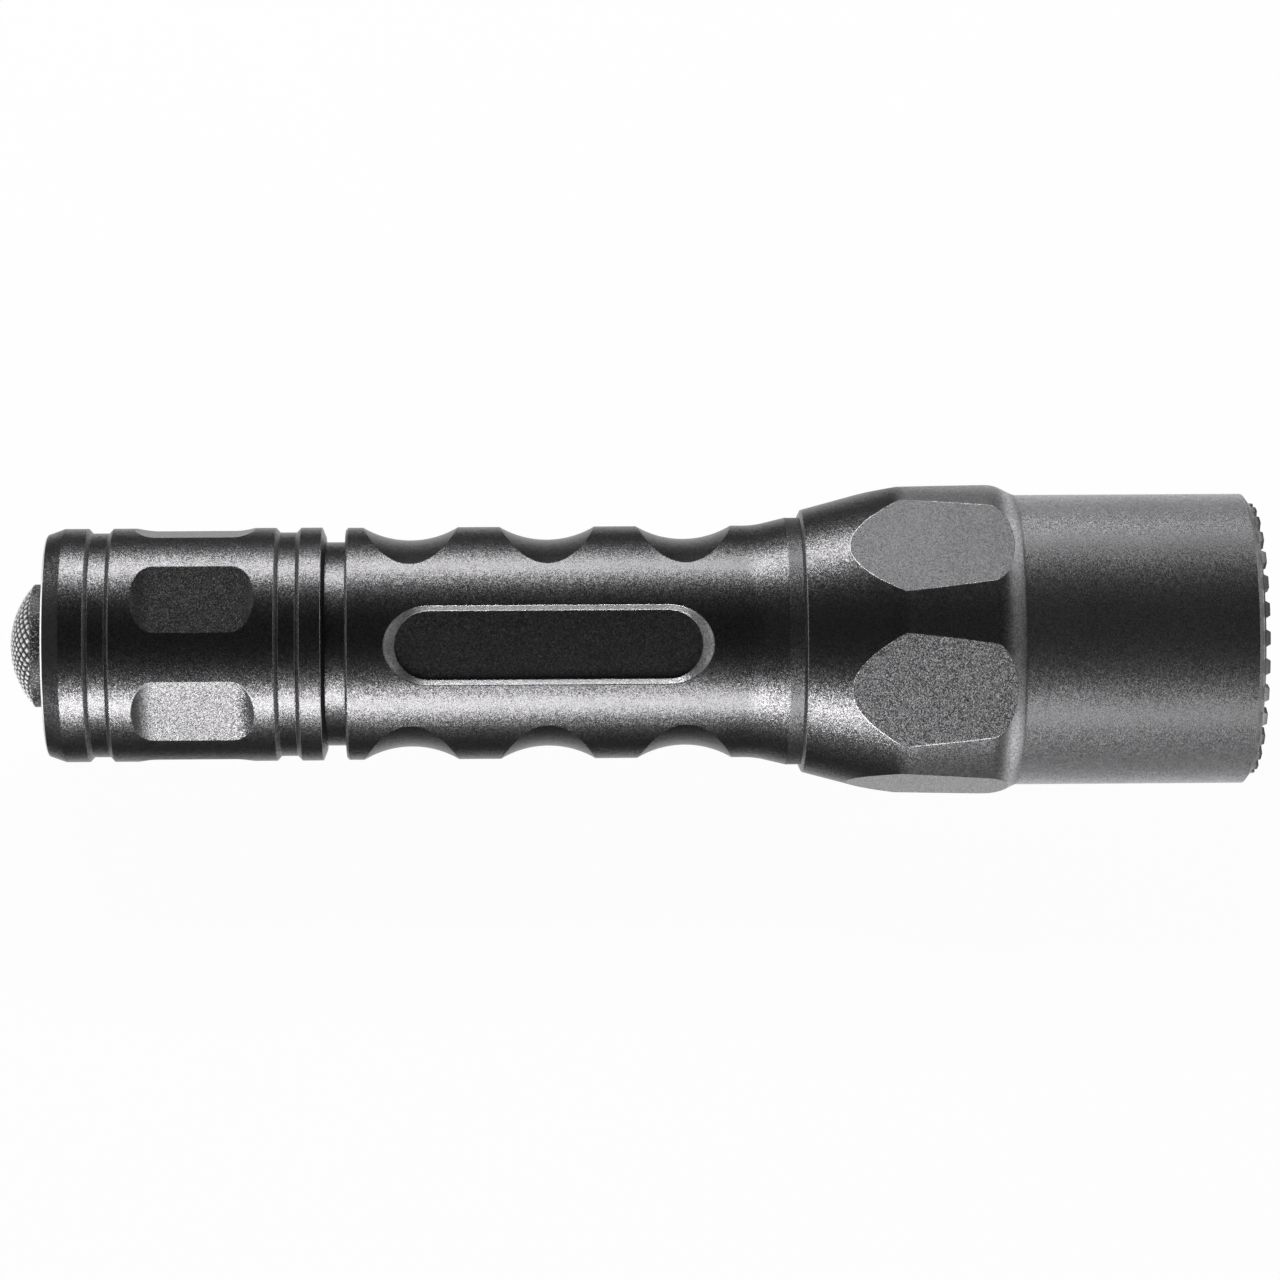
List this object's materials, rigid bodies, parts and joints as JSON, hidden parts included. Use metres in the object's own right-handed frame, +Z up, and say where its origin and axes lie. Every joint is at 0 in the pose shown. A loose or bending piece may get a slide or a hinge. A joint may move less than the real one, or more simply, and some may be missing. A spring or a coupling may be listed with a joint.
{
  "type": "tactical flashlight",
  "caption": "Two-cell aluminium hand torch with a scalloped grip, a six-sided head, a toothed lens ring and a screw-on tailcap with a push button.",
  "frame": {"origin": "on the light's axis at the middle of its length, lying with one flat of the head facing down", "axes": "+X along the light's axis towards the lens, +Z up, +Y away from the side with the visible recess"},
  "size_m": [0.132, 0.0332, 0.0318],
  "materials": {
    "black_anodised": "bead-blasted black anodised",
    "black_ring": "satin black anodised",
    "boot_rubber": "moulded, cross-hatched crown",
    "seal_rubber": "smooth, lightly greased",
    "window_glass": "polished, coated",
    "mirror": "vacuum-plated, lightly textured",
    "insulator_plastic": "moulded",
    "led_phosphor": "yellow phosphor on ceramic",
    "led_silicone": "clear silicone",
    "board_white": "white solder mask",
    "board_green": "green solder mask",
    "bare_aluminium": "turned",
    "steel": "plated",
    "wire_red": "PVC insulated",
    "gold_spring": "gold plated",
    "cell_sleeve": "shrink film, no print",
    "switch_plastic": "moulded",
    "plunger_plastic": "moulded"
  },
  "bodies": {
    "light": {"head_shell": "black_anodised", "lens_ring": "black_ring", "window_lens": "window_glass", "lens_seal": "seal_rubber", "reflector": "mirror", "reflector_insulator": "insulator_plastic", "led_base": "led_phosphor", "led_dome": "led_silicone", "star_board": "board_white", "star_screws": "steel", "led_leads": "wire_red", "heat_sink": "bare_aluminium", "driver_board": "board_green", "contact_ring": "gold_spring", "head_spring": "gold_spring", "head_seal": "seal_rubber", "body_tube": "black_anodised", "tail_seal": "seal_rubber", "front_cell": "steel", "front_cell_sleeve": "cell_sleeve", "front_cell_button": "steel", "rear_cell": "steel", "rear_cell_sleeve": "cell_sleeve", "rear_cell_button": "steel"},
    "spring_carrier": {"tail_spring": "gold_spring"},
    "tailcap": {"tailcap_shell": "black_anodised", "boot_flange": "boot_rubber", "boot_washer": "bare_aluminium", "switch_housing": "switch_plastic", "switch_spring": "gold_spring", "switch_board": "board_green", "switch_retainer": "bare_aluminium"},
    "button": {"switch_boot": "boot_rubber", "switch_plunger": "plunger_plastic"}
  },
  "joints": [
    {"name": "cap_travel", "type": "slide", "parent": "light", "child": "spring_carrier", "axis": [-1, 0, 0], "range_m": [0, 0.0125]},
    {"name": "cap_turn", "type": "hinge", "parent": "spring_carrier", "child": "tailcap", "pos_m": [0, 0, 0], "axis": [-1, 0, 0], "range_deg": [0, 3600]},
    {"name": "button_press", "type": "slide", "parent": "tailcap", "child": "button", "axis": [1, 0, 0], "range_m": [0, 0.0016], "stiffness_N_per_m": 1500, "deforming": ["switch_spring"]}
  ],
  "couplings": [
    {"joint": "cap_travel", "follows": "cap_turn", "m_per_rad": 0.00019894}
  ]
}
